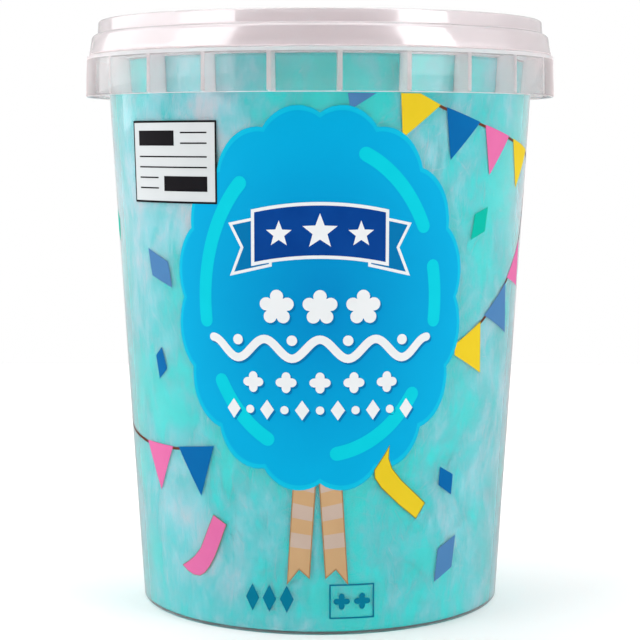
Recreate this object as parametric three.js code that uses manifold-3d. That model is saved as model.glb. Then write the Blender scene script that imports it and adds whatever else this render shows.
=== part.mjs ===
// A sealed tub of cotton candy: a clear tapered tub with a ribbed tamper-evident skirt under its
// rim, the snap lid over the rim, and the candy floss that fills it. Millimetres, +Z up, with the
// origin in the middle of the base and the front of the tub facing -Y.
import * as THREE from "three";
import { mergeVertices } from "three/addons/utils/BufferGeometryUtils.js";
import Module from "manifold-3d";

// Driving dimensions.
const baseRadius = 46.3; // outside of the tub where it stands
const wallTaper = 0.0598; // radius gained for each millimetre of height
const wall = 0.8; // tub wall
const floorThickness = 1.1;
const baseCorner = 1.4; // radius of the outer bottom edge
const rimTop = 143.9; // top of the tub's rim, inside the lid
const rimBead = 57.2; // radius of the bead that the lid snaps over
const skirtBottom = 129.2;
const skirtTop = 139.4;
const skirtRadius = 60; // at the skirt's lower edge, the widest place
const skirtDraft = 0.3; // how much narrower the skirt is at its top
const skirtWall = 0.8;
const ledge = 1.2; // the flange that joins the skirt to the wall
const ribCount = 23;
const ribAngle = 4.4; // degrees from the front to the first rib, anticlockwise from above
const ribWidth = 0.8;
const ribInset = 0.4; // the ribs stop this far above the skirt's edge
const lidBottom = 139.7;
const lidStep = 144.9; // where the flared band ends and the stacking ring starts
const lidTop = 148.3;
const lidBand = 59.1; // radius of the band's lower edge
const lidRing = 56.8; // radius of the stacking ring
const lidWall = 0.8;
const lidPanel = 139.5; // underside of the sunk panel
const gap = 0.3; // between neighbouring pieces
const candyTop = 138.2; // mean height of the floss

const tubSegments = 69; // three to a rib
const candySegments = 64;

const wallRadius = (z) => baseRadius + wallTaper * z;
const innerRadius = (z) => wallRadius(z) - wall;

// Points of an arc in a profile, angles in degrees anticlockwise from the outward direction.
function arc(centreR, centreZ, radius, from, to, steps) {
  return Array.from({ length: steps + 1 }, (_, i) => {
    const a = THREE.MathUtils.degToRad(from + ((to - from) * i) / steps);
    return [centreR + radius * Math.cos(a), centreZ + radius * Math.sin(a)];
  });
}

// A [radius, height] profile turned about Z.
function turned(profile, segments) {
  const points = profile.map(([r, z]) => new THREE.Vector2(r, z));
  return new THREE.LatheGeometry(points, segments).rotateX(Math.PI / 2);
}

const wasm = await Module();
wasm.setup();

function toSolid(geometry) {
  const bare = geometry.clone();
  bare.deleteAttribute("normal");
  bare.deleteAttribute("uv");
  const merged = mergeVertices(bare, 1e-4);
  return new wasm.Manifold(
    new wasm.Mesh({
      numProp: 3,
      vertProperties: merged.attributes.position.array,
      triVerts: new Uint32Array(merged.index.array),
    }),
  );
}

function toGeometry(solid) {
  const mesh = solid.getMesh();
  return new THREE.BufferGeometry()
    .setAttribute("position", new THREE.BufferAttribute(mesh.vertProperties, 3))
    .setIndex(new THREE.BufferAttribute(mesh.triVerts, 1));
}

// The tub's shell in one turn: floor, wall, the skirt hung from its flange, and the beaded rim.
function tubShell() {
  const ledgeUnder = skirtTop - ledge;
  const skirtTopRadius = skirtRadius - skirtDraft;
  const skirtEdge = 0.5; // rounding of the skirt's upper edge
  const neck = wallRadius(skirtTop) + 0.4; // outside of the rim below its bead
  const beadBottom = skirtTop + 1.6;
  const beadWidest = [beadBottom + 1, beadBottom + 1.6];
  const rimEdge = 0.5; // rounding of the rim's top
  const floorCorner = 2; // bevel inside, between floor and wall
  return turned(
    [
      [0, 0],
      ...arc(baseRadius - baseCorner, baseCorner, baseCorner, -90, 0, 4),
      [wallRadius(skirtBottom), skirtBottom],
      [wallRadius(ledgeUnder), ledgeUnder],
      [skirtTopRadius - skirtWall, ledgeUnder],
      [skirtRadius - skirtWall, skirtBottom],
      [skirtRadius, skirtBottom],
      ...arc(skirtTopRadius - skirtEdge, skirtTop - skirtEdge, skirtEdge, 0, 90, 2),
      [neck, skirtTop],
      [neck, beadBottom],
      [rimBead, beadWidest[0]],
      [rimBead, beadWidest[1]],
      ...arc(innerRadius(rimTop) + rimEdge, rimTop - rimEdge, rimEdge, 60, 180, 3),
      [innerRadius(floorThickness + floorCorner), floorThickness + floorCorner],
      [innerRadius(floorThickness) - floorCorner, floorThickness],
      [0, floorThickness],
    ],
    tubSegments,
  );
}

// One upright rib from the wall out into the skirt, at the given angle from the front.
function rib(degrees) {
  const bottom = skirtBottom + ribInset;
  const top = skirtTop - ledge / 2;
  const from = wallRadius(bottom) - wall / 2;
  const to = skirtRadius - skirtDraft - skirtWall / 2;
  return new THREE.BoxGeometry(ribWidth, to - from, top - bottom)
    .translate(0, -(from + to) / 2, (bottom + top) / 2)
    .rotateZ(THREE.MathUtils.degToRad(degrees));
}

function tub() {
  let solid = toSolid(tubShell());
  for (let i = 0; i < ribCount; i++) {
    solid = solid.add(toSolid(rib(ribAngle + (360 * i) / ribCount)));
  }
  return toGeometry(solid);
}

// The lid in one turn: sunk panel with its stacking bead, plug wall, the channel that takes the
// rim, the flared band with its snap bead, and the stacking ring.
function lid() {
  const plug = innerRadius(lidBottom) - 0.4; // outside of the plug wall
  const ringInner = plug - lidWall;
  const channelTop = lidTop - lidWall;
  const panelTop = lidPanel + lidWall;
  const corner = 0.8; // bevels of the sunk panel
  const ringEdge = 0.6; // rounding of the stacking ring
  const shoulder = 1.5; // rounding of the band where it meets the step
  const bandInner = lidBand - lidWall;
  const snap = 1.2; // how far the snap bead stands in under the rim
  const stackRadius = baseRadius + 1.2; // the next tub up stands inside this bead
  const stackHeight = 0.7;
  return turned(
    [
      [0, lidPanel],
      [plug - corner, lidPanel],
      [plug, lidPanel + corner],
      [plug, channelTop],
      [lidRing - lidWall, channelTop],
      [lidRing - lidWall / 2, lidStep],
      [rimBead + gap, lidStep - shoulder],
      [bandInner - 0.5, lidBottom + 1.7],
      [bandInner - snap, lidBottom + 1.1],
      [bandInner - 0.2, lidBottom + 0.5],
      [bandInner, lidBottom],
      [lidBand, lidBottom],
      [lidBand - 0.35, lidBottom + 2.2],
      ...arc(lidRing + 0.2, lidStep - shoulder, shoulder, 20, 80, 3),
      [lidRing + 0.1, lidStep],
      [lidRing, lidStep + 0.4],
      ...arc(lidRing - ringEdge - 0.1, lidTop - ringEdge, ringEdge, 0, 90, 3),
      ...arc(ringInner + ringEdge, lidTop - ringEdge, ringEdge, 90, 180, 3),
      [ringInner, panelTop + corner],
      [ringInner - corner, panelTop],
      [stackRadius + 1.2, panelTop],
      [stackRadius + 0.9, panelTop + stackHeight],
      [stackRadius + 0.3, panelTop + stackHeight],
      [stackRadius, panelTop],
      [0, panelTop],
    ],
    tubSegments,
  );
}

// Smooth waves that stand in for the unevenness of packed floss: -1 to 1, and periodic in angle.
function lumps(angle, height) {
  return (
    0.4 * Math.sin(3 * angle + height / 19) +
    0.35 * Math.sin(7 * angle - height / 11 + 1.3) +
    0.25 * Math.sin(12 * angle + height / 7 + 4.1)
  );
}

// The floss: a body that fills the tub, dented a little where it has drawn away from the wall,
// with a low uneven crown under the lid's panel.
function candy() {
  const bottom = floorThickness + gap;
  const dent = 0.7; // deepest hollow in the side is twice this
  const sideRows = 16;
  const crownRows = 9;
  const foot = 2.6; // bevels at the foot and the shoulder
  const shoulder = 1.2;
  const ring = (radiusAt, heightAt) =>
    Array.from({ length: candySegments }, (_, i) => {
      const angle = (2 * Math.PI * i) / candySegments;
      const r = radiusAt(angle);
      return [r * Math.cos(angle), r * Math.sin(angle), heightAt(angle, r)];
    });
  const rings = [
    ring(
      () => innerRadius(bottom) - gap - foot,
      () => bottom,
    ),
  ];
  const sideBottom = bottom + foot;
  const sideTop = candyTop - shoulder;
  for (let row = 0; row <= sideRows; row++) {
    const z = sideBottom + ((sideTop - sideBottom) * row) / sideRows;
    rings.push(
      ring(
        (a) => innerRadius(z) - gap - dent * (1 + lumps(a, z)),
        () => z,
      ),
    );
  }
  for (let row = 1; row < crownRows; row++) {
    const share = 1 - row / crownRows;
    rings.push(
      ring(
        () => (innerRadius(sideTop) - gap - 2 * dent) * Math.sqrt(share),
        (a, r) => candyTop + 0.8 * lumps(a, r * 2) * Math.sqrt(share),
      ),
    );
  }
  return closedRings(rings, [0, 0, bottom], [0, 0, candyTop]);
}

// A closed surface through rings of equal count, shut by a point at each end.
function closedRings(rings, first, last) {
  const count = rings[0].length;
  const positions = [first, ...rings.flat(), last].flat();
  const end = rings.length * count + 1;
  const faces = [];
  const at = (row, i) => 1 + row * count + (i % count);
  for (let i = 0; i < count; i++) {
    faces.push(0, at(0, i + 1), at(0, i));
    for (let row = 0; row < rings.length - 1; row++) {
      faces.push(at(row, i), at(row, i + 1), at(row + 1, i + 1));
      faces.push(at(row, i), at(row + 1, i + 1), at(row + 1, i));
    }
    faces.push(at(rings.length - 1, i), at(rings.length - 1, i + 1), end);
  }
  return new THREE.BufferGeometry()
    .setAttribute("position", new THREE.Float32BufferAttribute(positions, 3))
    .setIndex(faces);
}

function piece(name, geometry, material) {
  const mesh = new THREE.Mesh(geometry, new THREE.MeshStandardMaterial(material));
  mesh.name = name;
  return mesh;
}

const group = new THREE.Group();
group.add(
  piece("tub", tub(), { color: 0xdfe8ea, roughness: 0.25, metalness: 0, transparent: true, opacity: 0.35 }),
  piece("lid", lid(), { color: 0xede3e4, roughness: 0.3, metalness: 0, transparent: true, opacity: 0.5 }),
  piece("cotton_candy", candy(), { color: 0x74d3d3, roughness: 1, metalness: 0 }),
);

export default group;
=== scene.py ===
# A sealed clear tub of cotton candy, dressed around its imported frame: the moulded tub, the print
# on its wall, the floss inside and the snap lid, then the table, the lights and the camera.
import math

import bmesh
import bpy
import numpy as np
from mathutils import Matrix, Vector, geometry


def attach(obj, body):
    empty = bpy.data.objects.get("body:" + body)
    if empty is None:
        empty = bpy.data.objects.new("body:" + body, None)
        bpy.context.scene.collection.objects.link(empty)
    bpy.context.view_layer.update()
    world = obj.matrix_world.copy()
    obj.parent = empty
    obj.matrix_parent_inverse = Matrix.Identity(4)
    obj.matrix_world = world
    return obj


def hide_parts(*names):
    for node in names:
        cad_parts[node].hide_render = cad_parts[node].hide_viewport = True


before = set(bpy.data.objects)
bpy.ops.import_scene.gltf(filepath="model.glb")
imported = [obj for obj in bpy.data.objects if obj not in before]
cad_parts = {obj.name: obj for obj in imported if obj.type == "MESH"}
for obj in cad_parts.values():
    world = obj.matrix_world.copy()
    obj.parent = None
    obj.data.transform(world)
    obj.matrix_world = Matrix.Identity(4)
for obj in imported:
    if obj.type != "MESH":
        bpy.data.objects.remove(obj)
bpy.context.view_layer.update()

# ---------------------------------------------------------------------------------------------
# Tub. One injection moulding in natural polypropylene: a tapered wall, a beaded rim that the
# lid snaps over, and under the rim a tamper-evident skirt that hangs from a narrow flange.
MM = 0.001
TURN_STEPS = 276  # faces round a turned body
TUB_BASE = 46.3  # outside radius on the table, mm
TUB_TAPER = 0.0598  # radius gained for each mm of height
TUB_WALL = 0.8
TUB_FLOOR = 1.1
TUB_CORNER = 0.6  # radius of the outer bottom edge
FLOOR_FILLET = 2.0  # inside, between floor and wall
WALL_RINGS = (40, 80, 110)  # heights between the ends of the wall
SKIRT_BOTTOM = 129.2
SKIRT_TOP = 139.4
SKIRT_RADIUS = 60.0  # at the skirt's lower edge, the widest place
SKIRT_DRAFT = 0.3  # how much narrower the skirt is at its top
SKIRT_WALL = 0.8
SKIRT_FILLET = 0.4  # in the corners under the flange
FLANGE = 0.8  # thickness of the flange that carries the skirt
FLANGE_EDGE = 0.25  # rounding of its outer edge
FROST_DROP = 0.1  # how far the frosting of the flange comes down the skirt
NECK_STEP = 0.4  # the rim's neck stands this far outside the line of the wall
NECK_CHAMFER = 0.3
NECK_HEIGHT = 1.5
RIM_BEAD = 57.2  # radius of the bead that the lid snaps over
BEAD_RISE = 2.9  # from the flange to the middle of the bead
BEAD_ROUND = 0.4
RIM_TOP = 143.9
RIM_EDGE = 0.5  # rounding of the rim's top


def wall_radius(z):
    """Outside of the tapered wall at a height, both in mm."""
    return TUB_BASE + TUB_TAPER * z


def inner_radius(z):
    """Inside of the wall at a height."""
    return wall_radius(z) - TUB_WALL


def arc(centre_r, centre_z, radius, start, end, steps):
    """Profile points on an arc, angles in degrees from the outward direction."""
    angles = np.radians(np.linspace(start, end, steps + 1))
    return [(centre_r + radius * math.cos(a), centre_z + radius * math.sin(a)) for a in angles]


def new_object(name, data):
    """An object in the scene, from its mesh, lamp or camera."""
    made = bpy.data.objects.new(name, data)
    bpy.context.scene.collection.objects.link(made)
    return made


def new_piece(name, verts, faces):
    """An object from points in mm and faces."""
    mesh = bpy.data.meshes.new(name)
    mesh.from_pydata([(x * MM, y * MM, z * MM) for x, y, z in verts], [], faces)
    mesh.update()
    return new_object(name, mesh)


def smooth(piece, angle):
    """Smooth shading, with edges sharper than the angle in degrees kept crisp."""
    piece.data.polygons.foreach_set("use_smooth", [True] * len(piece.data.polygons))
    piece.data.set_sharp_from_angle(angle=math.radians(angle))


def ring_faces(rings, steps):
    """Faces of a closed body whose points are one end, a number of rings and the other end."""
    faces = []
    top = 1 + (rings - 1) * steps
    for step in range(steps):
        after = (step + 1) % steps
        faces.append((0, 1 + after, 1 + step))
        for low in range(1, top, steps):
            high = low + steps
            faces.append((low + step, low + after, high + after, high + step))
        faces.append((top + step, top + after, top + steps))
    return faces


def turned(name, profile):
    """A body of revolution from a (radius, height) profile that starts and ends on the axis."""
    turns = [math.tau * step / TURN_STEPS for step in range(TURN_STEPS)]
    verts = [(0, 0, profile[0][1])]
    for radius, height in profile[1:-1]:
        verts += [(radius * math.sin(a), -radius * math.cos(a), height) for a in turns]
    verts.append((0, 0, profile[-1][1]))
    return new_piece(name, verts, ring_faces(len(profile) - 2, TURN_STEPS))


def linear(code):
    """An sRGB hex colour as the linear values that Blender works in."""
    channels = [int(code[i : i + 2], 16) / 255 for i in (1, 3, 5)]
    return [c / 12.92 if c <= 0.04045 else ((c + 0.055) / 1.055) ** 2.4 for c in channels] + [1.0]


def set_stops(elements, stops):
    """Gives a colour ramp its stops, each a position and a colour."""
    while len(elements) < len(stops):
        elements.new(0.5)
    for element, (position, colour) in zip(elements, stops):
        element.position = position
        element.color = colour


def add_node(tree, kind, settings=None, links=None):
    """Adds a node. Settings are properties, socket values or a ramp's stops; links feed sockets."""
    node = tree.nodes.new(kind)
    for name, value in (settings or {}).items():
        if name == "stops":
            set_stops(node.color_ramp.elements, value)
        elif isinstance(name, int) or name in node.inputs:
            node.inputs[name].default_value = value
        else:
            setattr(node, name, value)
    for name, output in (links or {}).items():
        tree.links.new(output, node.inputs[name])
    return node


def new_material(name):
    """An empty node material, and its tree."""
    material = bpy.data.materials.new(name)
    material.use_nodes = True
    material.node_tree.nodes.clear()
    return material, material.node_tree


def by_zone(piece, materials, zones):
    """The first material, with the numbered one on faces past a radius and between two heights."""
    for material in materials:
        piece.data.materials.append(material)
    for face in piece.data.polygons:
        x, y, z = face.center / MM
        for slot, radius, low, high in zones:
            if low < z < high and math.hypot(x, y) > radius:
                face.material_index = slot


def edge_zone(slot, radius, bottom):
    """The zone of a round lower edge, with a margin on each side."""
    return (slot, radius - 1.0, bottom - 0.1, bottom + 0.3)


flange_under = SKIRT_TOP - FLANGE
skirt_top_radius = SKIRT_RADIUS - SKIRT_DRAFT
skirt_lip = SKIRT_WALL / 2  # the lower edge is fully round
rim_neck = wall_radius(SKIRT_TOP) + NECK_STEP
floor_round = TUB_FLOOR + FLOOR_FILLET
fillet_z = flange_under - SKIRT_FILLET
tub_profile = (
    [(0, 0)]
    + arc(TUB_BASE - TUB_CORNER, TUB_CORNER, TUB_CORNER, -90, 0, 8)
    + [(wall_radius(z), z) for z in (*WALL_RINGS, SKIRT_BOTTOM, fillet_z)]
    + arc(wall_radius(flange_under) + SKIRT_FILLET, fillet_z, SKIRT_FILLET, 180, 90, 3)
    + arc(skirt_top_radius - SKIRT_WALL - SKIRT_FILLET, fillet_z, SKIRT_FILLET, 90, 0, 3)
    + arc(SKIRT_RADIUS - skirt_lip, SKIRT_BOTTOM + skirt_lip, skirt_lip, -180, 0, 6)
    + [(skirt_top_radius + SKIRT_DRAFT / 10, flange_under - FROST_DROP)]
    + arc(skirt_top_radius - FLANGE_EDGE, SKIRT_TOP - FLANGE_EDGE, FLANGE_EDGE, 0, 90, 4)
    + [(rim_neck + NECK_CHAMFER, SKIRT_TOP), (rim_neck, SKIRT_TOP + NECK_CHAMFER)]
    + [(rim_neck, SKIRT_TOP + NECK_HEIGHT)]
    + arc(RIM_BEAD - BEAD_ROUND, SKIRT_TOP + BEAD_RISE, BEAD_ROUND, -50, 60, 5)
    + arc(inner_radius(RIM_TOP) + RIM_EDGE, RIM_TOP - RIM_EDGE, RIM_EDGE, 60, 180, 6)
    + [(inner_radius(z), z) for z in reversed(WALL_RINGS)]
    + arc(inner_radius(floor_round) - FLOOR_FILLET, floor_round, FLOOR_FILLET, 0, -90, 6)
    + [(0, TUB_FLOOR)]
)
tub = turned("tub_shell", tub_profile)
smooth(tub, 40)

# Natural polypropylene, moulded against polished steel: clear with a faint milkiness, glossy,
# and very slightly wavy, so that reflections of the lights waver. Its IOR is below the usual
# 1.49, which keeps reflections and bending as faint as they are in so thin a wall.
clear_polypropylene, tree = new_material("clear_polypropylene_moulded")
place = add_node(tree, "ShaderNodeTexCoord")
waves = add_node(
    tree,
    "ShaderNodeTexNoise",
    {"Scale": 1 / (14 * MM), "Detail": 1.0},
    {"Vector": place.outputs["Object"]},
)
ripple = add_node(
    tree, "ShaderNodeBump", {"Strength": 0.5, "Distance": 0.2 * MM}, {"Height": waves.outputs["Fac"]}
)
shader = add_node(
    tree,
    "ShaderNodeBsdfPrincipled",
    {
        "Base Color": linear("#FFFDFD"),
        "Roughness": 0.04,
        "IOR": 1.35,
        "Transmission Weight": 0.965,
        "Sheen Weight": 0.8,
        "Sheen Roughness": 0.42,
        "Sheen Tint": linear("#FCEEF0"),
    },
    {"Normal": ripple.outputs["Normal"]},
)
milk = add_node(tree, "ShaderNodeVolumeAbsorption", {"Color": linear("#8C8888"), "Density": 12.0})
add_node(
    tree,
    "ShaderNodeOutputMaterial",
    {},
    {"Surface": shader.outputs["BSDF"], "Volume": milk.outputs["Volume"]},
)

# The same plastic in the skirt, which is thinner and cools faster. That leaves a haze, which
# shows where the skirt turns away.
hazy_polypropylene = clear_polypropylene.copy()
hazy_polypropylene.name = "hazy_polypropylene_moulded"
skirt_shader = hazy_polypropylene.node_tree.nodes["Principled BSDF"]
skirt_shader.inputs["Sheen Weight"].default_value = 1.0
skirt_shader.inputs["Sheen Roughness"].default_value = 0.4

# Ribs, flange and rims keep the mould's spark-eroded texture, which scatters light and makes
# them look white beside the clear wall. The real grain is finer than the 0.4 mm drawn here,
# which is as fine as shows.
frosted_polypropylene, tree = new_material("frosted_polypropylene_moulded")
place = add_node(tree, "ShaderNodeTexCoord")
grain = add_node(
    tree,
    "ShaderNodeTexNoise",
    {"Scale": 1 / (0.4 * MM), "Detail": 2.0},
    {"Vector": place.outputs["Object"]},
)
texture = add_node(
    tree, "ShaderNodeBump", {"Strength": 0.3, "Distance": 0.02 * MM}, {"Height": grain.outputs["Fac"]}
)
shader = add_node(
    tree,
    "ShaderNodeBsdfPrincipled",
    {"Base Color": linear("#FFF8F9"), "Roughness": 0.4, "IOR": 1.49, "Transmission Weight": 0.5},
    {"Normal": texture.outputs["Normal"]},
)
add_node(tree, "ShaderNodeOutputMaterial", {}, {"Surface": shader.outputs["BSDF"]})

# Each zone starts a little inside the faces that it takes in.
FROSTED, HAZY = 1, 2  # places in the list of materials
by_zone(
    tub,
    [clear_polypropylene, frosted_polypropylene, hazy_polypropylene],
    [
        (HAZY, SKIRT_RADIUS - 1.5, SKIRT_BOTTOM, SKIRT_TOP),
        (FROSTED, rim_neck - 0.2, flange_under - 0.45, RIM_TOP - 1.0),
        edge_zone(FROSTED, SKIRT_RADIUS, SKIRT_BOTTOM),
    ],
)
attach(tub, "root")
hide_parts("tub")

# ---------------------------------------------------------------------------------------------
# Ribs. Upright webs that stiffen the skirt, moulded in one with the tub: they run from its wall
# to the skirt, widen where they meet it, and stop a little above its lower edge.
RIB_COUNT = 23
RIB_FIRST = 4.4  # degrees, from the front
RIB_WIDTH = 0.7
RIB_FLARE = 1.1  # width of a rib where it meets the skirt
RIB_FILLET = ((0.6, 0.0), (0.25, 0.06))  # mm before its end, and mm wider on each side
RIB_INSET = 0.5  # the ribs stop this far above the skirt's edge
RIB_IN_WALL = 0.3  # how far a rib is sunk into what it joins
RIB_IN_SKIRT = 0.08
RIB_IN_FLANGE = 0.1

rib_foot = wall_radius(SKIRT_BOTTOM) - RIB_IN_WALL
rib_end = SKIRT_RADIUS - SKIRT_WALL + RIB_IN_SKIRT
rib_heights = (SKIRT_BOTTOM + RIB_INSET, flange_under + RIB_IN_FLANGE)
rib_side = [(rib_foot, RIB_WIDTH / 2)]
rib_side += [(rib_end - before, RIB_WIDTH / 2 + wider) for before, wider in RIB_FILLET]
rib_side.append((rib_end, RIB_FLARE / 2))
rib_outline = rib_side + [(r, -side) for r, side in reversed(rib_side)]
corners = len(rib_outline)
verts, faces = [], []
for index in range(RIB_COUNT):
    turn = math.radians(RIB_FIRST + 360 * index / RIB_COUNT)
    first = len(verts)
    for z in rib_heights:
        for r, side in rib_outline:
            x = r * math.sin(turn) + side * math.cos(turn)
            y = -r * math.cos(turn) + side * math.sin(turn)
            verts.append((x, y, z))
    faces.append([first + i for i in range(corners)])
    faces.append([first + corners + i for i in reversed(range(corners))])
    for i in range(corners):
        j = (i + 1) % corners
        faces.append((first + j, first + i, first + corners + i, first + corners + j))
ribs = new_piece("skirt_ribs", verts, faces)
smooth(ribs, 40)
ribs.data.materials.append(frosted_polypropylene)
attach(ribs, "root")

# ---------------------------------------------------------------------------------------------
# Rosette. A scalloped oval with bright strokes inside its edge, in opaque dry offset inks laid
# on the outside of the wall. It is the largest part of a print that is alike at the front and
# the back of the tub.
INK_GAP = 0.02  # mm from the wall to the first ink
INK_LAYER = 0.02  # mm from one layer of ink to the next
INK_FILM = 0.012
INK_STRIP = 2.0  # mm between the cuts that let a shape bend round the wall
INK_GLOSS = {"Roughness": 0.55, "Specular IOR Level": 0.04}
ROSETTE_Z = 81.0
ROSETTE_HALF = (35.2, 43.6)  # half width and half height, mm
ROSETTE_FACE = 0.972  # size of the face inside the bright edge
LOBES = 16
LOBE_STEPS = 12
LOBE_RISE = 0.055  # how far a scallop stands out, as a share of the rosette's size
LOBE_SHAPE = 0.8  # below 1 for fuller scallops
STROKE_OVAL = (28.6, 36.8)  # half width and half height of the line that the strokes follow
STROKE_RUNS = ((22, 62), (78, 98), (128, 172), (206, 238), (262, 318))  # degrees from the top
STROKE_WIDTH = 3.4
CAP_STEPS = 7


def everything(sheet):
    """All that a sheet under construction is made of."""
    return list(sheet.verts) + list(sheet.edges) + list(sheet.faces)


def points_of(parts):
    """The points among some parts of a sheet."""
    return [part for part in parts if isinstance(part, bmesh.types.BMVert)]


def printed(name, outlines, layer, ink):
    """Closed films of ink, front and back, from outlines of (mm round from the front, height).

    Layers count outwards from the wall.
    """
    sheet = bmesh.new()
    for outline in outlines:
        flat = [Vector((u, 0, z)) for u, z in outline]
        corners = [sheet.verts.new(point) for point in flat]
        for triangle in geometry.tessellate_polygon([flat]):
            sheet.faces.new([corners[i] for i in triangle])
    strips = [vert.co.x / INK_STRIP for vert in sheet.verts]
    for cut in range(math.ceil(min(strips)), math.floor(max(strips)) + 1):
        bmesh.ops.bisect_plane(
            sheet,
            geom=everything(sheet),
            dist=0.001,
            plane_co=(cut * INK_STRIP, 0, 0),
            plane_no=(1, 0, 0),
        )
    raised = bmesh.ops.extrude_face_region(sheet, geom=everything(sheet), use_keep_orig=True)
    for point in points_of(raised["geom"]):
        point.co.y = INK_FILM
    for vert in sheet.verts:
        u, rise, z = vert.co
        radius = wall_radius(z) + INK_GAP + INK_LAYER * layer + rise
        a = u / wall_radius(z)
        vert.co = Vector((radius * math.sin(a), -radius * math.cos(a), z)) * MM
    back = bmesh.ops.duplicate(sheet, geom=everything(sheet))
    for point in points_of(back["geom"]):
        point.co.x, point.co.y = -point.co.x, -point.co.y
    bmesh.ops.recalc_face_normals(sheet, faces=sheet.faces)
    mesh = bpy.data.meshes.new(name)
    sheet.to_mesh(mesh)
    sheet.free()
    piece = new_object(name, mesh)
    smooth(piece, 30)
    piece.data.materials.append(ink)
    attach(piece, "root")


def printing_ink(name, thin, full):
    """Dry offset ink: satin, and uneven by a breath where the plate laid it thinner."""
    material, tree = new_material(name)
    place = add_node(tree, "ShaderNodeTexCoord")
    film = add_node(
        tree,
        "ShaderNodeTexNoise",
        {"Scale": 1 / (6 * MM), "Detail": 3.0},
        {"Vector": place.outputs["Object"]},
    )
    shade = add_node(
        tree,
        "ShaderNodeMix",
        {"data_type": "RGBA", 6: linear(thin), 7: linear(full)},
        {0: film.outputs["Fac"]},
    )
    shader = add_node(tree, "ShaderNodeBsdfPrincipled", INK_GLOSS, {"Base Color": shade.outputs[2]})
    add_node(tree, "ShaderNodeOutputMaterial", {}, {"Surface": shader.outputs["BSDF"]})
    return material


def stroke(path, width):
    """A line of even width with round ends."""
    half = width / 2
    sides = ([], [])
    for index, (u, z) in enumerate(path):
        before, after = path[max(index - 1, 0)], path[min(index + 1, len(path) - 1)]
        run = math.atan2(after[1] - before[1], after[0] - before[0])
        for side, sign in zip(sides, (1, -1)):
            side.append((u - sign * half * math.sin(run), z + sign * half * math.cos(run)))
        if index == 0:
            first = run
    caps = []
    for (u, z), turn in ((path[-1], run), (path[0], first + math.pi)):
        angles = [turn + math.pi / 2 - math.pi * i / CAP_STEPS for i in range(1, CAP_STEPS)]
        caps.append([(u + half * math.cos(a), z + half * math.sin(a)) for a in angles])
    return sides[0] + caps[0] + sides[1][::-1] + caps[1]


def rosette(size):
    """The scalloped edge, at a share of its full size."""
    outline = []
    count = LOBES * LOBE_STEPS
    for index in range(count):
        t = math.tau * index / count
        bulge = size + LOBE_RISE * abs(math.sin(LOBES * t / 2)) ** LOBE_SHAPE
        u = ROSETTE_HALF[0] * bulge * math.sin(t)
        outline.append((u, ROSETTE_Z + ROSETTE_HALF[1] * bulge * math.cos(t)))
    return outline


def oval_run(start, end):
    """A run along the oval inside the rosette, angles in degrees clockwise from its top."""
    turns = np.radians(np.linspace(start, end, 20))
    return [(STROKE_OVAL[0] * math.sin(t), ROSETTE_Z + STROKE_OVAL[1] * math.cos(t)) for t in turns]


# The rosette's blue is a printed fade in the same dry offset ink, deeper in the middle and a
# little uneven over 9 mm.
rosette_blue, tree = new_material("dry_offset_ink_blue_fade")
place = add_node(tree, "ShaderNodeTexCoord")
centred = add_node(
    tree,
    "ShaderNodeMapping",
    {
        "Location": (0, 0, -ROSETTE_Z / ROSETTE_HALF[1]),
        "Scale": (1 / (ROSETTE_HALF[0] * MM), 0, 1 / (ROSETTE_HALF[1] * MM)),
    },
    {"Vector": place.outputs["Object"]},
)
from_middle = add_node(
    tree, "ShaderNodeVectorMath", {"operation": "LENGTH"}, {"Vector": centred.outputs["Vector"]}
)
film = add_node(
    tree,
    "ShaderNodeTexNoise",
    {"Scale": 1 / (9 * MM), "Detail": 2.0},
    {"Vector": place.outputs["Object"]},
)
uneven = add_node(
    tree,
    "ShaderNodeMath",
    {"operation": "MULTIPLY_ADD", 1: 0.12},
    {0: film.outputs["Fac"], 2: from_middle.outputs["Value"]},
)
fade = add_node(
    tree,
    "ShaderNodeValToRGB",
    {"stops": ((0.15, linear("#0086C2")), (1.0, linear("#00A7D8")))},
    {"Fac": uneven.outputs["Value"]},
)
shader = add_node(tree, "ShaderNodeBsdfPrincipled", INK_GLOSS, {"Base Color": fade.outputs["Color"]})
add_node(tree, "ShaderNodeOutputMaterial", {}, {"Surface": shader.outputs["BSDF"]})

bright_blue = printing_ink("dry_offset_ink_bright_blue", "#10BFDF", "#00B4DA")
aqua = printing_ink("dry_offset_ink_aqua", "#06CCDC", "#00C4D6")
printed("rosette_edge", [rosette(1.0)], 2, bright_blue)
printed("rosette_face", [rosette(ROSETTE_FACE)], 3, rosette_blue)
strokes = [stroke(oval_run(*run), STROKE_WIDTH) for run in STROKE_RUNS]
printed("rosette_strokes", strokes, 4, aqua)

# ---------------------------------------------------------------------------------------------
# Tails of the rosette. Two ribbons that hang from under it and part towards their notched ends,
# printed as aslant stripes in two inks, with a thin tan edge that lies below both.
TAIL_MARKS = [0.0, 0.13, 0.255, 0.38, 0.505, 0.63, 0.755]  # shares of the length between stripes
TAIL_SLANT = 0.055  # drop of a stripe across the tail, as a share of the length
TAIL_MIDDLE = (-0.6, 42.0)  # between the tails' upper ends
TAIL_GAP = 0.3  # from the middle to each tail
TAIL_WIDTH = 5.0
TAIL_LENGTH = 27.5
TAIL_SPREAD = 1.8  # how far the lower end lies further out
TAIL_SKEW = 1.4  # how much longer the outer edge is
TAIL_EDGE = 0.28
SHARPEST_CORNER = 0.35  # limits how far the point of a sharp corner moves out


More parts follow.
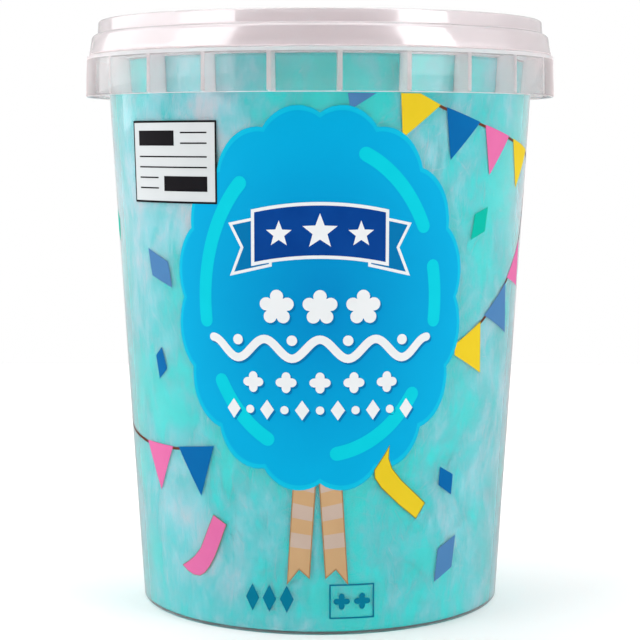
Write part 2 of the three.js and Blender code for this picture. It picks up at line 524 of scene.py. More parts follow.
def grown(outline, by):
    """An outline with its edges moved outwards."""
    area = sum(u0 * z1 - u1 * z0 for (u0, z0), (u1, z1) in zip(outline, outline[1:] + outline[:1]))
    out = []
    for index, (u, z) in enumerate(outline):
        before, after = outline[index - 1], outline[(index + 1) % len(outline)]
        first = Vector((u - before[0], z - before[1])).normalized()
        second = Vector((after[0] - u, after[1] - z)).normalized()
        across = Vector((first.y + second.y, -first.x - second.x)).normalized()
        reach = by / max(SHARPEST_CORNER, across.dot(Vector((first.y, -first.x))))
        reach = math.copysign(reach, area)
        out.append((u + reach * across.x, z + reach * across.y))
    return out


def tail_outline(sign, corners):
    """Points on one tail, each given across it and down it as shares of its size."""
    outline = []
    for across, down in corners:
        out = TAIL_GAP + TAIL_WIDTH * across + TAIL_SPREAD * down
        drop = TAIL_LENGTH * down + TAIL_SKEW * across * down
        outline.append((sign * out + TAIL_MIDDLE[0], TAIL_MIDDLE[1] - drop))
    return outline


tail_stripes = ([], [])
tail_edges = []
notched_end = [(1, 1), (0.5, 0.9), (0, 1)]
last_stripe = [(0, TAIL_MARKS[-1]), (1, TAIL_MARKS[-1] - TAIL_SLANT)] + notched_end
for sign in (-1, 1):
    for index, (top, foot) in enumerate(zip(TAIL_MARKS, TAIL_MARKS[1:])):
        stripe = [(0, top), (1, max(0, top - TAIL_SLANT)), (1, foot - TAIL_SLANT), (0, foot)]
        tail_stripes[index % 2].append(tail_outline(sign, stripe))
    tail_stripes[0].append(tail_outline(sign, last_stripe))
    tail_edges.append(grown(tail_outline(sign, [(0, 0), (1, 0)] + notched_end), TAIL_EDGE))
tan = printing_ink("dry_offset_ink_tan", "#A68258", "#9B764D")
buff = printing_ink("dry_offset_ink_buff", "#C9A47A", "#BE9A70")
cream = printing_ink("dry_offset_ink_cream", "#C4B0A2", "#BBA596")
printed("tail_edges", tail_edges, 0, tan)
printed("tail_buff_stripes", tail_stripes[0], 1, buff)
printed("tail_cream_stripes", tail_stripes[1], 1, cream)

# ---------------------------------------------------------------------------------------------
# Banner. Printed over the rosette in navy with a white edge and three white stars: a ribbon
# that arches a little, with swallow tails folded behind its ends.
BANNER_Z = 97.5
BANNER_HALF = (15.5, 5.8)
BANNER_DROP = 1.8  # how far it has come down at BANNER_DROP_AT from the middle
BANNER_DROP_AT = 16
BANNER_EDGE = 0.8
FOLD = ((12.0, 100.5), (21.0, 98.6), (18.2, 93.4), (20.6, 87.6), (12.0, 89.6))
FOLD_EDGE = 0.7
STAR_WAIST = 0.42  # radius of a star's inner corners, as a share of its size
STARS = ((0, 97.2, 4.3), (-9.6, 96.6, 3.2), (9.6, 96.6, 3.2))


def banner_line(height):
    """A line along the banner at a height above its middle."""
    steps = np.linspace(-BANNER_HALF[0], BANNER_HALF[0], 17)
    return [(u, BANNER_Z + height - BANNER_DROP * (u / BANNER_DROP_AT) ** 2) for u in steps]


def star(u, z, size):
    """A five-pointed star round a point."""
    tips = [size if i % 2 == 0 else STAR_WAIST * size for i in range(10)]
    turns = [i * math.pi / 5 for i in range(10)]
    return [(u + r * math.sin(t), z + r * math.cos(t)) for r, t in zip(tips, turns)]


banner = banner_line(BANNER_HALF[1]) + banner_line(-BANNER_HALF[1])[::-1]
folds = [[(sign * u, z) for u, z in FOLD] for sign in (-1, 1)]
white = printing_ink("dry_offset_ink_white", "#E8EBEC", "#E0E6E8")
shadow_blue = printing_ink("dry_offset_ink_shadow_blue", "#0075AD", "#006EA7")
navy = printing_ink("dry_offset_ink_navy", "#084695", "#003782")
printed("banner_folds_edge", [grown(fold, FOLD_EDGE) for fold in folds], 4, white)
printed("banner_folds", folds, 5, shadow_blue)
printed("banner_edge", [grown(banner, BANNER_EDGE)], 6, white)
printed("banner_face", [banner], 7, navy)
printed("banner_stars", [star(*spot) for spot in STARS], 8, white)

# ---------------------------------------------------------------------------------------------
# Ornaments. Four rows printed in white below the banner, of flowers, a wave with dots in its
# bends, crosses, and lozenges with dots between, each over a shadow in a deeper blue.
FLOWERS_Z = 79.4
DOTS_Z = 71.6
WAVE_Z = 69.6
WAVE_SWING = 2.3
WAVE_PERIOD = 13.2
WAVE_WIDTH = 2.0
CROSSES_Z = 61.6
LOZENGES_Z = 55.0
LOZENGE_HALF = (1.7, 2.4)
SHADOW_SHIFT = (0.45, -0.5)


def flower(u, z, petals, core, reach, steps, shape=1.0):
    """Petals that stand out from a core, fuller where the shape is below 1. With none it's a dot."""
    outline = []
    for index in range(steps):
        t = math.tau * index / steps
        radius = core + reach * abs(math.cos(petals * t / 2)) ** shape
        outline.append((u + radius * math.sin(t), z + radius * math.cos(t)))
    return outline


def lozenge(u, z, half):
    """An upright lozenge from its half width and half height."""
    return [(u, z + half[1]), (u + half[0], z), (u, z - half[1]), (u - half[0], z)]


wave_bends = np.linspace(-2, 2, 89) * WAVE_PERIOD
wave = [(u, WAVE_Z + WAVE_SWING * math.cos(u * math.tau / WAVE_PERIOD)) for u in wave_bends]
ornaments = [flower(u, FLOWERS_Z, 5, 2.5, 1.7, 60, 0.7) for u in (-10.2, 0, 10.2)]
ornaments.append(stroke(wave, WAVE_WIDTH))
ornaments += [flower(bend * WAVE_PERIOD, DOTS_Z, 0, 1.25, 0, 20) for bend in (-1.5, -0.5, 0.5, 1.5)]
ornaments += [flower(u, CROSSES_Z, 4, 1.5, 1.0, 48) for u in (-16, -8, 0, 8, 16)]
for index, u in enumerate(np.linspace(-21, 21, 11)):
    if index % 2 == 0:
        ornaments.append(lozenge(u, LOZENGES_Z, LOZENGE_HALF))
    else:
        ornaments.append(flower(u, LOZENGES_Z, 0, 1.0, 0, 18))
shadows = [[(u + SHADOW_SHIFT[0], z + SHADOW_SHIFT[1]) for u, z in outline] for outline in ornaments]
printed("ornament_shadows", shadows, 4, shadow_blue)
printed("ornaments", ornaments, 5, white)

# ---------------------------------------------------------------------------------------------
# Panel and base marks. A white label printed beside the rosette, with a black keyline, two bars
# and ruled lines, and near the base three lozenges and a frame with two crosses, in teal.
PANEL_KEYLINE = 0.5
RULE_WIDTH = 0.35
RULES = ((-51.0, -27.8, 111.9), (-51.0, -43.4, 106.9), (-35.4, -27.8, 117.6))  # left, right, height
RULE_SPACING = 2.5
MARKS_Z = 8.8
MARK_HALF = (1.7, 3.4)
CROSS_Z = 8.3
MARK_FRAME_WIDTH = 0.4


def rectangle(left, bottom, right, top):
    """The corners of an upright rectangle."""
    return [(left, bottom), (right, bottom), (right, top), (left, top)]


def framed(corners, width):
    """Lines between neighbouring corners."""
    return [stroke([corners[i - 1], corners[i]], width) for i in range(len(corners))]


label_white = printing_ink("dry_offset_ink_label_white", "#D5DADB", "#CDD3D5")
black = printing_ink("dry_offset_ink_black", "#1C1A1E", "#121114")
teal = printing_ink("dry_offset_ink_teal", "#007896", "#007391")
panel = rectangle(-53.6, 103.6, -25.2, 122.7)
bars = [rectangle(-51.2, 117.0, -37.6, 120.6), rectangle(-41.2, 106.2, -27.6, 109.8)]
for left, right, height in RULES:
    for z in (height, height + RULE_SPACING):
        bars.append(stroke([(left, z), (right, z)], RULE_WIDTH))
printed("panel_face", [panel], 4, label_white)
printed("panel_lines", framed(panel, PANEL_KEYLINE), 5, black)
printed("panel_bars", bars, 5, black)

base_marks = [lozenge(u, MARKS_Z, MARK_HALF) for u in (-16.6, -12.3, -8.0)]
base_marks += framed(rectangle(2.4, 4.2, 13.0, 12.4), MARK_FRAME_WIDTH)
base_marks += [flower(u, CROSS_Z, 4, 0.9, 1.1, 40) for u in (5.2, 10.2)]
printed("base_marks", base_marks, 0, teal)

# ---------------------------------------------------------------------------------------------
# Bunting and confetti. Pennants printed along a brown cord that runs on round the side of the
# tub, with loose lozenges and two curled streamers between them.
CORD_WIDTH = 0.7

brown = printing_ink("dry_offset_ink_brown", "#734634", "#562D21")
olive = printing_ink("dry_offset_ink_olive", "#868229", "#757321")
cloths = {
    "yellow": printing_ink("dry_offset_ink_yellow", "#E6C92A", "#DDC022"),
    "blue": printing_ink("dry_offset_ink_blue", "#0068A9", "#005FA0"),
    "pink": printing_ink("dry_offset_ink_pink", "#DF72A8", "#D8679F"),
    "periwinkle": printing_ink("dry_offset_ink_periwinkle", "#4F82B2", "#497AAD"),
    "green": printing_ink("dry_offset_ink_sea_green", "#00BAA6", "#00B09C"),
}
# Runs and outlines, in mm round from the front and mm of height.
cords = [
    [
        (26.0, 127.7), (30.5, 125.8), (43.5, 121.8), (57.0, 118.5), (71.0, 115.6), (75.4, 114.0),
        (77.6, 111.6), (77.6, 109.2), (76.0, 106.0), (71.8, 98.9), (68.4, 92.6), (57.3, 83.1),
        (45.6, 74.6), (38.0, 70.4),
    ],
    [(-80.0, 49.9), (-72.0, 46.4), (-63.0, 44.4), (-53.0, 43.3), (-39.5, 43.3), (-29.0, 44.5)],
]
pennants = {
    "yellow": [
        [(19.1, 129.1), (24.0, 129.1), (29.7, 126.5), (19.6, 118.8)],
        [(58.4, 118.7), (72.0, 115.9), (61.6, 106.6)],
        [(44.6, 74.3), (35.2, 69.4), (35.2, 66.8), (45.0, 61.6)],
    ],
    "blue": [
        [(31.4, 126.0), (42.5, 122.6), (32.8, 113.7)],
        [(-38.3, 43.9), (-26.8, 45.2), (-30.8, 32.5)],
    ],
    "pink": [
        [(44.5, 122.0), (55.8, 119.3), (46.6, 110.0)],
        [(68.8, 93.3), (58.1, 84.3), (69.2, 81.4)],
        [(-52.5, 43.7), (-40.4, 43.7), (-46.0, 31.9)],
    ],
    "periwinkle": [
        [(57.2, 83.2), (46.1, 75.8), (58.5, 70.4)],
        [(6.4, 129.1), (13.2, 129.1), (7.0, 125.3)],
    ],
}
confetti = {
    "yellow": [[(72.0, 41.0), (76.6, 43.5), (76.0, 49.0), (71.4, 46.0)]],
    "blue": [
        [(31.1, 39.7), (35.4, 37.3), (34.9, 32.3), (30.7, 35.2)],
        [(-44.0, 68.1), (-42.0, 62.9), (-45.2, 60.1), (-46.6, 65.8)],
    ],
    "pink": [[(-76.0, 22.0), (-71.8, 19.0), (-72.6, 13.6), (-76.6, 16.4)]],
    "periwinkle": [
        [(36.7, 21.9), (35.6, 13.9), (29.8, 11.0), (30.8, 19.2)],
        [(-48.7, 92.2), (-40.6, 89.2), (-39.3, 83.0), (-47.2, 85.6)],
    ],
    "green": [
        [(46.5, 102.3), (45.4, 96.4), (40.0, 94.5), (41.3, 100.7)],
        [(-74.0, 101.0), (-69.4, 98.4), (-70.2, 92.8), (-74.6, 95.2)],
    ],
}
streamers = {
    "yellow": [
        (16.7, 45.7), (15.8, 44.1), (13.2, 40.3), (13.3, 38.4), (14.9, 36.0), (19.4, 31.6),
        (24.0, 27.8), (26.4, 31.2), (19.9, 37.3), (17.4, 40.4), (16.5, 43.0),
    ],
    "pink": [
        (-27.1, 28.1), (-28.7, 24.7), (-29.9, 22.0), (-31.2, 19.3), (-33.2, 17.0), (-35.3, 15.4),
        (-37.5, 14.1), (-35.7, 13.0), (-33.6, 12.3), (-31.6, 12.4), (-30.0, 13.4), (-28.5, 15.2),
        (-26.9, 17.9), (-25.5, 21.1), (-24.3, 24.2), (-23.5, 26.1),
    ],
}
streamer_edges = [grown(streamers["yellow"], 0.2), grown(streamers["pink"], 0.12)]
printed("bunting_cord", [stroke(cord, CORD_WIDTH) for cord in cords], 0, brown)
printed("streamer_edge", streamer_edges, 4, olive)
for colour, cloth in cloths.items():
    printed(f"confetti_{colour}", confetti[colour], 0, cloth)
    if colour in pennants:
        printed(f"pennants_{colour}", pennants[colour], 1, cloth)
    if colour in streamers:
        printed(f"streamer_{colour}", [streamers[colour]], 5, cloth)

# ---------------------------------------------------------------------------------------------
# Floss. Sugar melted with dye and thrown from a spinner as hair-thin fibres, packed by hand: it
# presses against the wall in tufts and draws away from it in hollows. Its colour is painted
# paler on the tufts and deeper in the hollows, as painted light and shade.
FLOSS_STEPS = 520  # faces round the body
FLOSS_ROWS = 150  # rings up its side
CROWN_ROWS = 24
FLOSS_TOP = 138.9  # height of the crown's middle
CROWN_LIFT = 0.05
CROWN_SWELL = 0.45
CROWN_INSET = 1.2  # from the wall to its first ring
SHOULDER = 0.5  # from the top of the side up to the crown
FLOSS_REACH = 0.5  # mm that it presses into the wall, so that no film of air shows
FLOSS_FOOT = TUB_FLOOR - FLOSS_REACH
FOOT_CORNER = 1.2
FLOOR_RINGS = (0.3, 0.65, 0.9)  # as shares of the foot's radius
PLAIN_TONE = 0.4  # where the floss lies on the floor
WALL_AROUND = math.tau * 50  # mm round the inside of the wall at half height
DRIFT_ROWS = 64


class Drift:
    """Smooth random waves over the unrolled wall, about -1 to 1, that meet up round the tub."""

    def __init__(self, seed, wide, tall):
        self.around = round(WALL_AROUND / wide)
        self.tall = tall
        turns = np.random.default_rng(seed).uniform(0, math.tau, (DRIFT_ROWS, self.around))
        self.slopes = np.stack((np.cos(turns), np.sin(turns)))

    def at(self, a, z):
        """The wave at angles a and heights z."""
        u, v = np.asarray(a) / math.tau * self.around, np.asarray(z) / self.tall
        left, low = np.floor(u).astype(int), np.floor(v).astype(int)
        u, v = u - left, v - low
        total = 0
        for right in (0, 1):
            for up in (0, 1):
                slope = self.slopes[:, (low + up) % DRIFT_ROWS, (left + right) % self.around]
                lean = slope[0] * (u - right) + slope[1] * (v - up)
                near = (abs(1 - right - u), abs(1 - up - v))
                fade = [t * t * t * (t * (6 * t - 15) + 10) for t in near]
                total = total + lean * fade[0] * fade[1]
        return 1.5 * total


# Each by its seed and by how wide and how tall one wave is, in mm.
sway = Drift(1, 20, 24)
broad = Drift(1671, 44, 50)
tufts = Drift(1900, 14, 21)
wisps = Drift(4, 5.2, 10)
hairs = Drift(5, 1.9, 5)
crown = Drift(6, 12, 12)
turning = Drift(7, 38, 40)
curling = Drift(8, 12, 14)


def swayed(a, z):
    """Angles shifted to and fro with height, so that tufts lean."""
    return a + 0.16 * sway.at(a, z)


def floss_depth(a, z):
    """How far the floss lies back from its furthest reach, mm."""
    bent = swayed(a, z)
    swell = 0.4 * broad.at(a, z) + 0.5 * tufts.at(bent, z) + 0.3 * wisps.at(bent, z)
    return 0.22 + 0.16 * np.tanh(1.6 * swell) + 0.05 * hairs.at(bent, z)


def floss_tone_and_shade(a, z):
    """Whitish 0 to turquoise 1: uneven dye, with painted light on tufts and painted shade in hollows
    and down the middle of the front.
    """
    bent = swayed(a, z)
    return (
        0.37
        # painted shade, deepest down the middle of the front
        + 0.15 * np.maximum(0, np.cos(a)) ** 8
        + 0.34 * broad.at(a + 1.0, z + 20)
        + 0.26 * tufts.at(bent, z)
        + 0.19 * wisps.at(bent, z)
        + 0.10 * hairs.at(bent, z)
    )


angles = np.arange(FLOSS_STEPS) * math.tau / FLOSS_STEPS
level = np.ones(FLOSS_STEPS)  # the same all round
side_foot = FLOSS_FOOT + FOOT_CORNER
side_top = FLOSS_TOP - SHOULDER
rings = []
for share in FLOOR_RINGS:
    rings.append(((TUB_BASE - FOOT_CORNER) * share * level, FLOSS_FOOT * level, PLAIN_TONE * level))
corner_turns = [math.radians(turn) for turn in range(10, 90, 16)]
corner_heights = [FLOSS_FOOT + FOOT_CORNER * (1 - math.cos(turn)) for turn in corner_turns]
for z in corner_heights + list(np.linspace(side_foot, side_top, FLOSS_ROWS)):
    corner = min(1.0, max(0.0, (side_foot - z) / FOOT_CORNER))
    outer = inner_radius(z) + FLOSS_REACH - FOOT_CORNER * (1 - math.sqrt(1 - corner * corner))
    rings.append((outer - floss_depth(angles, z), z * level, floss_tone_and_shade(angles, z)))
for row in range(1, CROWN_ROWS):
    # The crown's waves run over x and y in place of angle and height.
    radius = (inner_radius(side_top) - CROWN_INSET) * math.sqrt(1 - row / CROWN_ROWS)
    x, y = radius * np.sin(angles), radius * np.cos(angles)
    swell = crown.at(x / 50 + 3, y + 80) + 0.4 * crown.at(x / 20 + 1, 2.5 * y + 200)
    height = FLOSS_TOP + CROWN_LIFT + CROWN_SWELL * swell
    # The crown's tone is painted paler on its humps and deeper in its dips, as painted light and shade.
    rings.append((radius * level, height, 0.45 - 0.5 * swell))
verts = [(0, 0, FLOSS_FOOT)]
tones = [PLAIN_TONE]
for radius, height, tone in rings:
    verts += list(zip(radius * np.sin(angles), -radius * np.cos(angles), height))
    tones += list(tone)
verts.append((0, 0, FLOSS_TOP))
tones.append(PLAIN_TONE)
floss = new_piece("floss_body", verts, ring_faces(len(rings), FLOSS_STEPS))
smooth(floss, 180)
floss.data.attributes.new("tone", "FLOAT", "POINT").data.foreach_set("value", tones)

# The fibres lie on the body as fine three-sided threads, each drawn thicker than the real hairs
# of sugar, which are too fine to show.
FIBRE_POINTS = 8
FIBRES_A_PIECE = 4200
FIBRE_PIECES = 3
FIBRE_LENGTH = (2.5, 7)  # mm, shortest and longest
FIBRE_HALF_WIDTH = (0.035, 0.085)
FIBRE_LIFT = 0.14  # how far the middle of the loosest fibre stands off the floss
FIBRE_RIDGE = 0.4  # height of a fibre, as a share of its half width
FIBRE_STARTS = (4, FLOSS_TOP - 4)  # lowest and highest
FIBRE_BOUNDS = (2.5, FLOSS_TOP - 0.7)


def fibre_mesh(name, middle, side, out, width, tone):
    """Threads from arrays of (threads, points, xyz) in mm, with a width and a tone at each point."""
    count, points = width.shape
    sides = [middle - side * width[..., None], middle + side * width[..., None]]
    ridge = middle + out * width[..., None] * FIBRE_RIDGE
    verts = np.stack((*sides, ridge), axis=2).reshape(-1, 3) * MM
    start = 3 * (np.arange(count)[:, None] * points + np.arange(points - 1)[None, :]).ravel()
    faces = []
    for i, j in ((0, 2), (2, 1), (1, 0)):
        faces += np.stack((start + i, start + j, start + 3 + j, start + 3 + i), 1).tolist()
    first = 3 * points * np.arange(count)
    last = first + 3 * (points - 1)
    faces += np.stack((first, first + 1, first + 2), 1).tolist()
    faces += np.stack((last + 2, last + 1, last), 1).tolist()
    mesh = bpy.data.meshes.new(name)
    mesh.from_pydata(verts.tolist(), [], faces)
    tones = mesh.attributes.new("tone", "FLOAT", "POINT").data
    tones.foreach_set("value", np.repeat(tone.ravel(), 3))
    piece = new_object(name, mesh)
    smooth(piece, 60)
    return piece


def wall_fibres(name, seed):
    """Fibres that run over the floss where it lies against the wall."""
    rng = np.random.default_rng(seed)
    count = FIBRES_A_PIECE
    a, z = rng.uniform(0, math.tau, count), rng.uniform(*FIBRE_STARTS, count)
    length = rng.uniform(*FIBRE_LENGTH, count)
    lean = rng.normal(0, 0.6, count)
    curl = rng.normal(0, 0.05, count)
    width = rng.uniform(*FIBRE_HALF_WIDTH, count)
    lift = rng.uniform(0.0, 1.0, count) ** 2 * FIBRE_LIFT
    shift = rng.normal(-0.06, 0.1, count)
    step = length / (FIBRE_POINTS - 1)
    path, headings = [], []
    for _ in range(FIBRE_POINTS):
        heading = 0.15 + 0.9 * turning.at(a, z) + 0.9 * curling.at(a, z) + lean
        path.append((a, z))
        headings.append(heading)
        a = a + step * np.sin(heading) / inner_radius(z)
        z = np.clip(z + step * np.cos(heading), *FIBRE_BOUNDS)
        lean = lean + curl * step
    a, z = (np.stack(values, 1) for values in zip(*path))
    heading = np.stack(headings, 1)
    bow = np.sin(math.pi * np.linspace(0, 1, FIBRE_POINTS))
    radius = inner_radius(z) + FLOSS_REACH - floss_depth(a, z) + lift[:, None] * bow
    out = np.stack((np.sin(a), -np.cos(a), np.zeros_like(a)), 2)
    round_tub = np.stack((np.cos(a), np.sin(a), np.zeros_like(a)), 2)
    up = np.zeros_like(out)
    up[..., 2] = 1
    side = round_tub * np.cos(heading)[..., None] - up * np.sin(heading)[..., None]
    middle = out * radius[..., None] + up * z[..., None]
    taper = 0.2 + 0.8 * bow**0.6
    # The fibres take the floss's tone, with its painted light and shade, shifted a little at random.
    tone = floss_tone_and_shade(a, z) + shift[:, None]
    return fibre_mesh(name, middle, side, out, width[:, None] * taper, tone)


floss_pieces = [floss]
for index in range(FIBRE_PIECES):
    floss_pieces.append(wall_fibres(f"floss_fibres_{index}", 20 + index))

# Spun sugar with blue-green dye: matt and soft-edged. Its tone is partly uneven dye at random and
# partly painted light and shade: whitish on the tufts against the wall, turquoise in the hollows
# and down the middle of the front. Its patterns are streaks of fibres 0.9 mm apart and clouds
# 4 mm across.
spun_sugar, tree = new_material("spun_sugar_floss")
place = add_node(tree, "ShaderNodeTexCoord")
drawn_out = add_node(
    tree, "ShaderNodeMapping", {"Scale": (1.0, 1.0, 0.35)}, {"Vector": place.outputs["Object"]}
)
streaks = add_node(
    tree,
    "ShaderNodeTexNoise",
    {"Scale": 1 / (0.9 * MM), "Detail": 2.0, "Roughness": 0.6, "Distortion": 0.6},
    {"Vector": drawn_out.outputs["Vector"]},
)
clouds = add_node(
    tree,
    "ShaderNodeTexNoise",
    {"Scale": 1 / (4 * MM), "Detail": 4.0, "Roughness": 0.6, "Distortion": 0.5},
    {"Vector": place.outputs["Object"]},
)
tone = add_node(tree, "ShaderNodeAttribute", {"attribute_name": "tone"})
clouded = add_node(
    tree,
    "ShaderNodeMath",
    {"operation": "MULTIPLY_ADD", 1: 0.42},
    {0: clouds.outputs["Fac"], 2: tone.outputs["Fac"]},
)
streaked = add_node(
    tree,
    "ShaderNodeMath",
    {"operation": "MULTIPLY_ADD", 1: 0.35},
    {0: streaks.outputs["Fac"], 2: clouded.outputs["Value"]},
)
dye = ((0.25, "#D9E4EB"), (0.5, "#A6E3EB"), (0.8, "#5BDFE3"), (1.0, "#00E8E6"))
dyed = add_node(
    tree,
    "ShaderNodeValToRGB",
    {"stops": [(position, linear(code)) for position, code in dye]},
    {"Fac": streaked.outputs["Value"]},
)
shader = add_node(
    tree,
    "ShaderNodeBsdfPrincipled",
    {
        "Roughness": 1.0,
        "Specular IOR Level": 0.0,
        "Subsurface Weight": 0.35,
        "Subsurface Radius": (0.6, 1.0, 1.0),
        "Subsurface Scale": 2.0 * MM,
    },
    {"Base Color": dyed.outputs["Color"]},
)
add_node(tree, "ShaderNodeOutputMaterial", {}, {"Surface": shader.outputs["BSDF"]})
for piece in floss_pieces:
    piece.data.materials.append(spun_sugar)
    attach(piece, "root")
    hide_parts("cotton_candy")

# ---------------------------------------------------------------------------------------------
# Lid. Snapped over the rim, one moulding in the same polypropylene: a sunk panel with a stacking
# bead, a raised stacking ring, and a flared band that comes down to the top of the skirt.
LID_BOTTOM = 139.5
LID_STEP = 144.9  # where the flared band ends and the stacking ring starts
LID_TOP = 148.3
LID_BAND = 59.1  # radius of the band's lower edge
LID_RING = 56.8  # radius of the stacking ring
LID_WALL = 0.8
LID_FILLET = 0.4
LID_SHOULDER = 1.5  # rounding of the band where it meets the step
RING_EDGE = 0.6  # rounding of the stacking ring
PANEL_Z = 139.5  # underside of the sunk panel
PANEL_CORNER = 0.8
PANEL_RING = 30  # radius of the points between the panel's middle and its edge
PLUG_GAP = 0.4  # between the tub's wall and the plug
RIM_GAP = 0.3  # between the rim's bead and the lid
SHOULDER_OUT = 0.2  # middle of the shoulder's rounding, outside the ring
RING_DRAFT = 0.1
BAND_TURN = (0.35, 2.2)  # in and up from the band's edge, where its outside starts to lean in
SNAP_BEAD = ((0.5, 1.7), (0.9, 1.1), (0.2, 0.5))  # its top, middle and foot, from the same edge
SNAP_ROUND = 0.3
STACK_STEP = 1.2  # the bead that the next tub stands in lies this far outside the tub's base
STACK_BEAD = 0.6
STACK_FOOT = 0.7

plug = inner_radius(LID_BOTTOM) - PLUG_GAP
plug_inner = plug - LID_WALL
panel_top = PANEL_Z + LID_WALL
channel_top = LID_TOP - LID_WALL
band_inner = LID_BAND - LID_WALL
band_lip = LID_WALL / 2  # the lower edge is fully round
snap_top, snap_middle, snap_foot = [(band_inner - r, LID_BOTTOM + z) for r, z in SNAP_BEAD]
stack_middle = TUB_BASE + STACK_STEP + STACK_BEAD
stack_rise = STACK_FOOT - STACK_BEAD
lid_profile = (
    [(0, PANEL_Z), (PANEL_RING, PANEL_Z)]
    + arc(plug - PANEL_CORNER, PANEL_Z + PANEL_CORNER, PANEL_CORNER, -90, 0, 4)
    + arc(plug + LID_FILLET, channel_top - LID_FILLET, LID_FILLET, 180, 90, 3)
    + arc(LID_RING - LID_WALL - LID_FILLET, channel_top - LID_FILLET, LID_FILLET, 90, 0, 3)
    + [(LID_RING - LID_WALL / 2, LID_STEP), (RIM_BEAD + RIM_GAP, LID_STEP - LID_SHOULDER)]
    + [snap_top]
    + arc(*snap_middle, SNAP_ROUND, 120, 240, 4)
    + [snap_foot]
    + arc(LID_BAND - band_lip, LID_BOTTOM + band_lip, band_lip, -180, 0, 6)
    + [(LID_BAND - BAND_TURN[0], LID_BOTTOM + BAND_TURN[1])]
    + arc(LID_RING + SHOULDER_OUT, LID_STEP - LID_SHOULDER, LID_SHOULDER, 20, 80, 6)
    + arc(LID_RING + RING_DRAFT + LID_FILLET, LID_STEP + LID_FILLET, LID_FILLET, 270, 180, 3)
    + arc(LID_RING - RING_DRAFT - RING_EDGE, LID_TOP - RING_EDGE, RING_EDGE, 5, 90, 5)
    + arc(plug_inner + RING_EDGE, LID_TOP - RING_EDGE, RING_EDGE, 90, 180, 5)
    + arc(plug_inner - PANEL_CORNER, panel_top + PANEL_CORNER, PANEL_CORNER, 0, -90, 4)
    + [(stack_middle + STACK_FOOT, panel_top)]
    + arc(stack_middle, panel_top + stack_rise, STACK_BEAD, 0, 180, 6)
    + [(stack_middle - STACK_FOOT, panel_top), (PANEL_RING, panel_top), (0, panel_top)]
)
lid = turned("lid_shell", lid_profile)
smooth(lid, 40)

# The lid's polypropylene cools slower and stays milkier than the tub's wall, under a skin that
# took the mould's polish. The coat is that skin, and its IOR is above the plastic's 1.49, which
# makes up for the light that the real lid's inner face sends back too.
milky_polypropylene, tree = new_material("milky_polypropylene_moulded")
shader = add_node(
    tree,
    "ShaderNodeBsdfPrincipled",
    {
        "Base Color": linear("#F8F0F2"),
        "Roughness": 0.35,
        "IOR": 1.49,
        "Transmission Weight": 0.7,
        "Coat Weight": 1.0,
        "Coat Roughness": 0.1,
        "Coat IOR": 2.1,
    },
)
add_node(tree, "ShaderNodeOutputMaterial", {}, {"Surface": shader.outputs["BSDF"]})
by_zone(
    lid,
    [milky_polypropylene, frosted_polypropylene],
    [edge_zone(FROSTED, LID_BAND, LID_BOTTOM)],
)
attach(lid, "root")
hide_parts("lid")

# ---------------------------------------------------------------------------------------------
# Table. A plain board in white matt laminate that the tub stands on, wide enough for its shadow
# to fade out. It lies a hair below the tub's base, and is left out of reflections.
TABLE_HALF = 480
TABLE_DROP = 0.05

table_corners = [(x, y, 0) for x, y in rectangle(-TABLE_HALF, -TABLE_HALF, TABLE_HALF, TABLE_HALF)]
table = new_piece("table", table_corners, [(0, 1, 2, 3)])
table.location.z = -TABLE_DROP * MM
white_laminate, tree = new_material("white_matt_laminate")
shader = add_node(tree, "ShaderNodeBsdfPrincipled", {"Base Color": linear("#FFFAF9"), "Roughness": 0.9})
add_node(tree, "ShaderNodeOutputMaterial", {}, {"Surface": shader.outputs["BSDF"]})
table.data.materials.append(white_laminate)
table.visible_glossy = False

# ---------------------------------------------------------------------------------------------
# Light. A white studio with two upright softboxes on each side of the tub and a wide one
# overhead. The camera sees a plain white backdrop, and the tub a greyer room, whose walls and
# ceiling darken towards the camera and whose floor darkens towards the back.

# Strengths at shares of the way from the front of the room (0) to its back (1).
CEILING = ((0.15, 0.2), (0.8, 0.72))
WALLS = ((0.03, 0.4), (0.35, 0.78), (0.6, 0.75), (0.85, 0.65))
FLOOR_SIDE = ((0.3, 1.0), (0.55, 0.85), (0.8, 0.15))
# Heights between which one part of the room fades into the next, straight up being 1.
CEILING_FADE = (0.12, 0.24)
FLOOR_FADE = (-0.12, -0.08)

world = bpy.data.worlds.new("studio")
bpy.context.scene.world = world
world.use_nodes = True
tree = world.node_tree
direction = add_node(tree, "ShaderNodeTexCoord")
parts = add_node(tree, "ShaderNodeSeparateXYZ", {}, {"Vector": direction.outputs["Generated"]})
back = add_node(
    tree, "ShaderNodeMapRange", {"From Min": -1.0, "From Max": 1.0}, {"Value": parts.outputs["Y"]}
)
strengths = []
for stops in (CEILING, WALLS, FLOOR_SIDE):
    greys = [(position, (strength, strength, strength, 1)) for position, strength in stops]
    ramp = add_node(tree, "ShaderNodeValToRGB", {"stops": greys}, {"Fac": back.outputs["Result"]})
    strengths.append(ramp.outputs["Color"])
surroundings = strengths[0]
for (low, high), below in zip((CEILING_FADE, FLOOR_FADE), strengths[1:]):
    blend = add_node(
        tree,
        "ShaderNodeMapRange",
        {"From Min": low, "From Max": high},
        {"Value": parts.outputs["Z"], "To Min": below, "To Max": surroundings},
    )
    surroundings = blend.outputs["Result"]
ray = add_node(tree, "ShaderNodeLightPath")
seen = add_node(
    tree,
    "ShaderNodeMapRange",
    {"To Max": 1.0},
    {"Value": ray.outputs["Is Camera Ray"], "To Min": surroundings},
)
tree.links.new(seen.outputs["Result"], tree.nodes["Background"].inputs["Strength"])
tree.nodes["Background"].inputs["Color"].default_value = (1, 1, 1, 1)


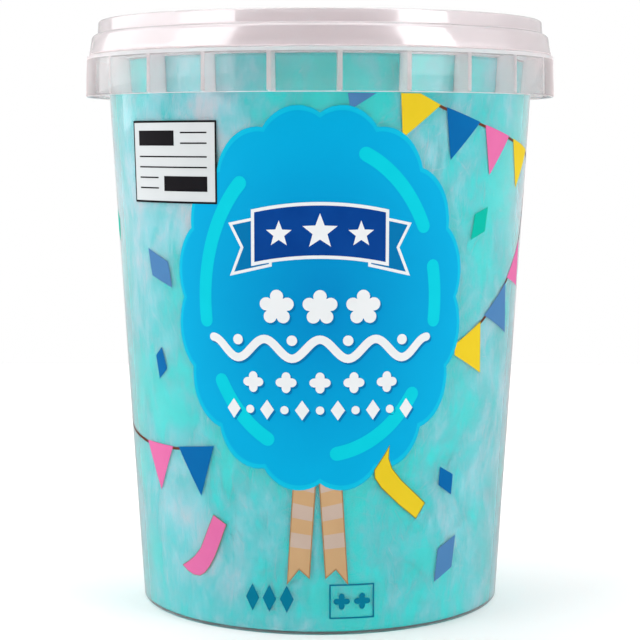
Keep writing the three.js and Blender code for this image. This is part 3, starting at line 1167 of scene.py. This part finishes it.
def softbox(name, place, turned_to, size, radiance):
    """A rectangular area light, from its place in metres and its Euler angles in degrees."""
    lamp = bpy.data.lights.new(name, "AREA")
    lamp.shape = "RECTANGLE"
    lamp.size, lamp.size_y = size
    lamp.energy = radiance * math.pi * size[0] * size[1]
    stand = new_object(name, lamp)
    stand.location = place
    stand.rotation_euler = [math.radians(angle) for angle in turned_to]


def upright_softbox(name, azimuth, spread, low, high, radiance):
    """A softbox a metre away, from the angles in degrees that it spans as seen from the lid."""
    turn = math.radians(azimuth)
    bottom, top = (LID_TOP * MM + math.tan(math.radians(angle)) for angle in (low, high))
    place = (math.sin(turn), -math.cos(turn), (bottom + top) / 2)
    size = (2 * math.tan(math.radians(spread / 2)), top - bottom)
    softbox(name, place, (90, 0, azimuth), size, radiance)


upright_softbox("left_softbox", -58.5, 31, -4, 45, 2.5)
upright_softbox("left_rear_softbox", -103, 58, -4, 45, 1.3)
upright_softbox("right_softbox", 53, 28, -4, 48, 3.15)
upright_softbox("right_rear_softbox", 85, 34, -4, 45, 0.55)
softbox("top_softbox", (0, 0.25, 1.5), (-9, 0, 0), (1.6, 1.6), 1.68)

# Enough bounces for light to pass both walls of the mouldings and come back from the floss.
cycles = bpy.context.scene.cycles
cycles.max_bounces = 24
cycles.blur_glossy = 0
cycles.diffuse_bounces = 6
cycles.glossy_bounces = 16
cycles.transmission_bounces = 24
bpy.context.scene.view_settings.view_transform = "Standard"

# ---------------------------------------------------------------------------------------------
# Camera. A long lens on a tripod in front of the tub, a little lower than its lid, looking
# slightly down, so that the lid's panel stays out of sight.
CAMERA_AWAY = 467.5
CAMERA_HEIGHT = 117.9
CAMERA_DIP = 5.67  # degrees below the horizon
CAMERA_LENS = 100.9

camera = new_object("camera", bpy.data.cameras.new("camera"))
camera.data.sensor_width = 36
camera.data.lens = CAMERA_LENS
camera.data.clip_start = 0.01
camera.location = (0, -CAMERA_AWAY * MM, CAMERA_HEIGHT * MM)
camera.rotation_euler = (math.radians(90 - CAMERA_DIP), 0, 0)
bpy.context.scene.camera = camera
